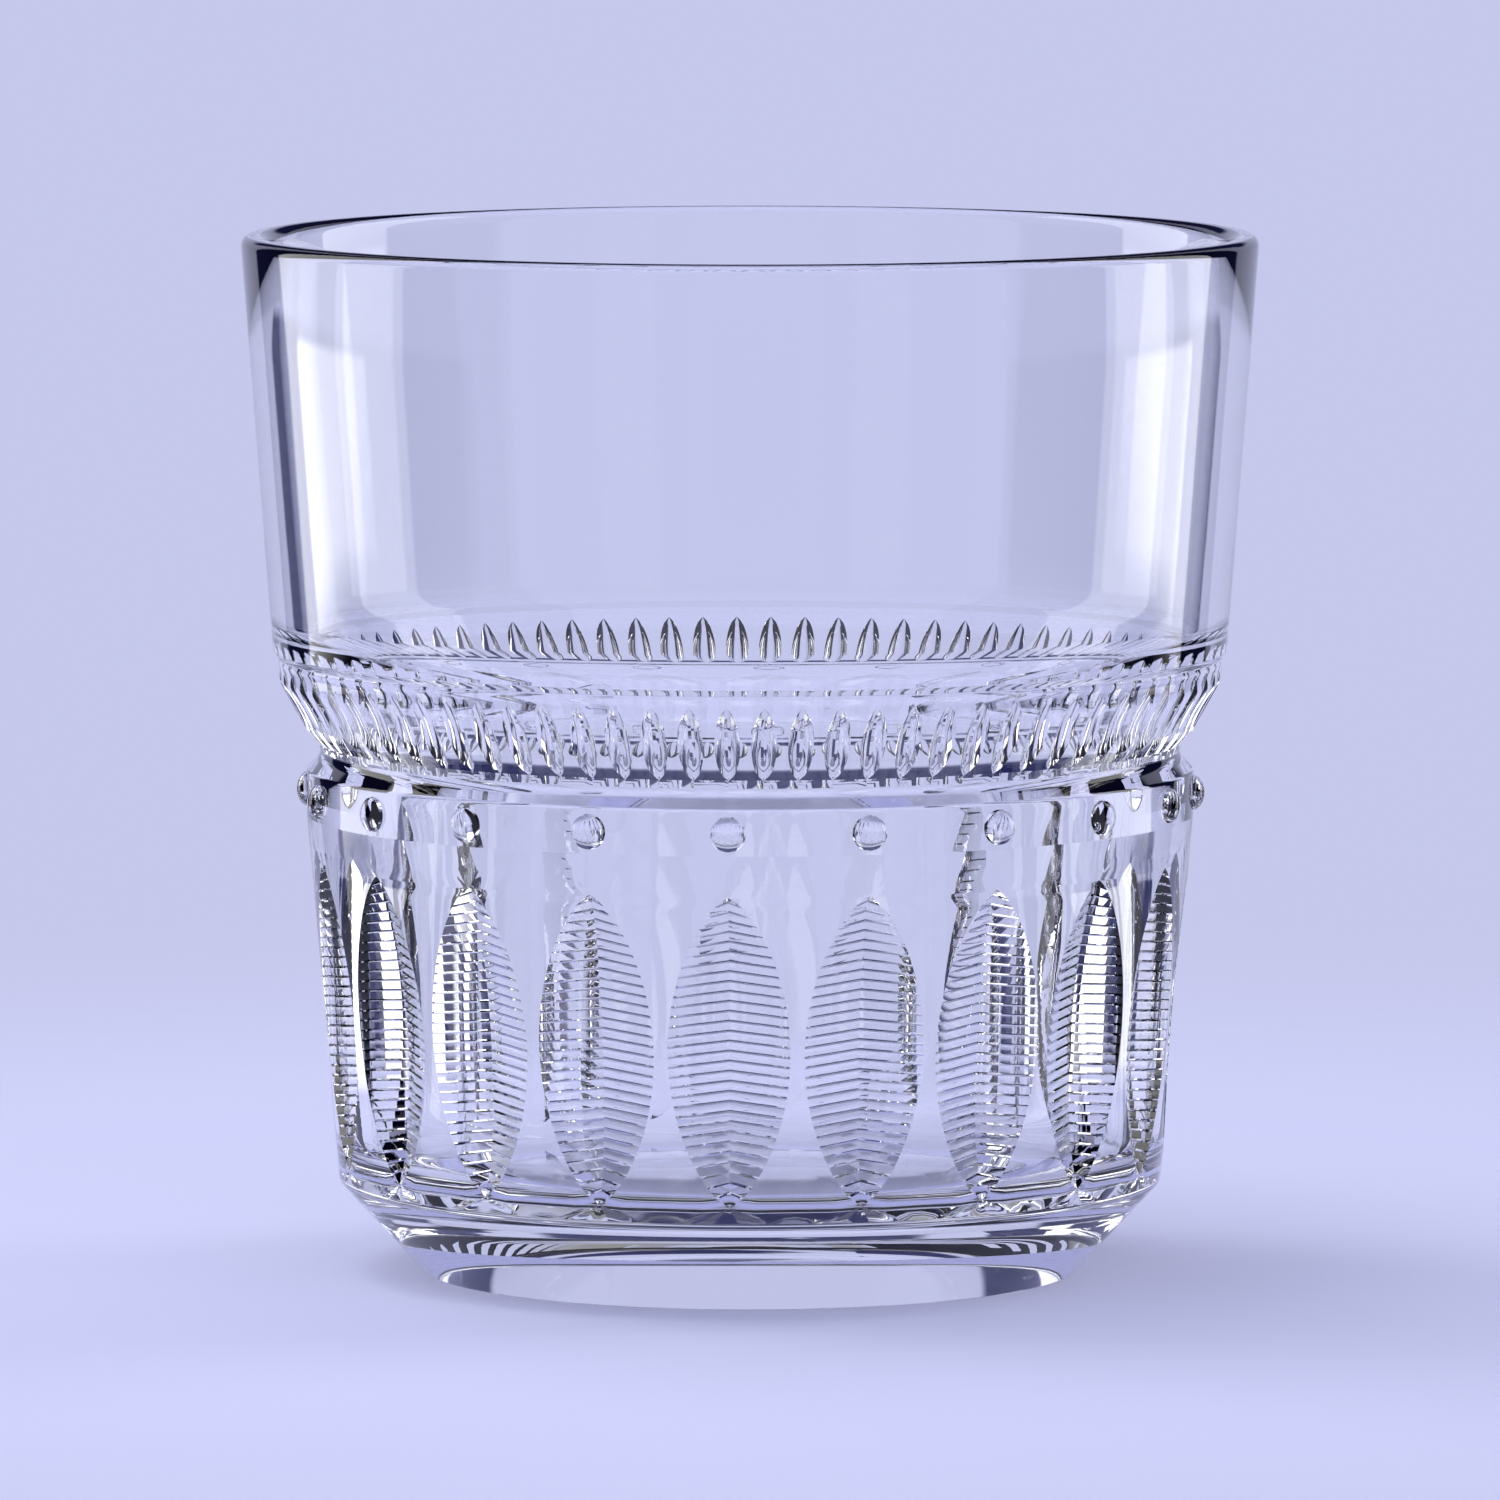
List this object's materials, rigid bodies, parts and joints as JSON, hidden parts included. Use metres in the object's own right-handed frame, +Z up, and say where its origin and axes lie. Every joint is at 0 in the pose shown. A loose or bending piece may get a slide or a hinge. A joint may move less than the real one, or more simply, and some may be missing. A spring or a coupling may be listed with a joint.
{
  "type": "whiskey tumbler",
  "caption": "Clear pressed-glass stacking tumbler for short drinks, with a fluted shoulder, a studded collar, ribbed pointed leaf cuts round the lower wall and a thick base.",
  "frame": {"origin": "centre of the foot, on the surface that the glass stands on", "axes": "+Z up the glass's axis towards the rim; one leaf cut faces -Y"},
  "size_m": [0.09, 0.09, 0.092],
  "materials": {
    "clear_glass": "fire-polished clear soda-lime glass"
  },
  "bodies": {
    "root": {"rim_lip": "clear_glass", "upper_wall": "clear_glass", "fluted_shoulder": "clear_glass", "collar_band": "clear_glass", "bead_studs": "clear_glass", "lower_wall": "clear_glass", "leaf_panels": "clear_glass", "cup_floor": "clear_glass", "sham_base": "clear_glass", "foot_ring": "clear_glass"}
  },
  "joints": []
}
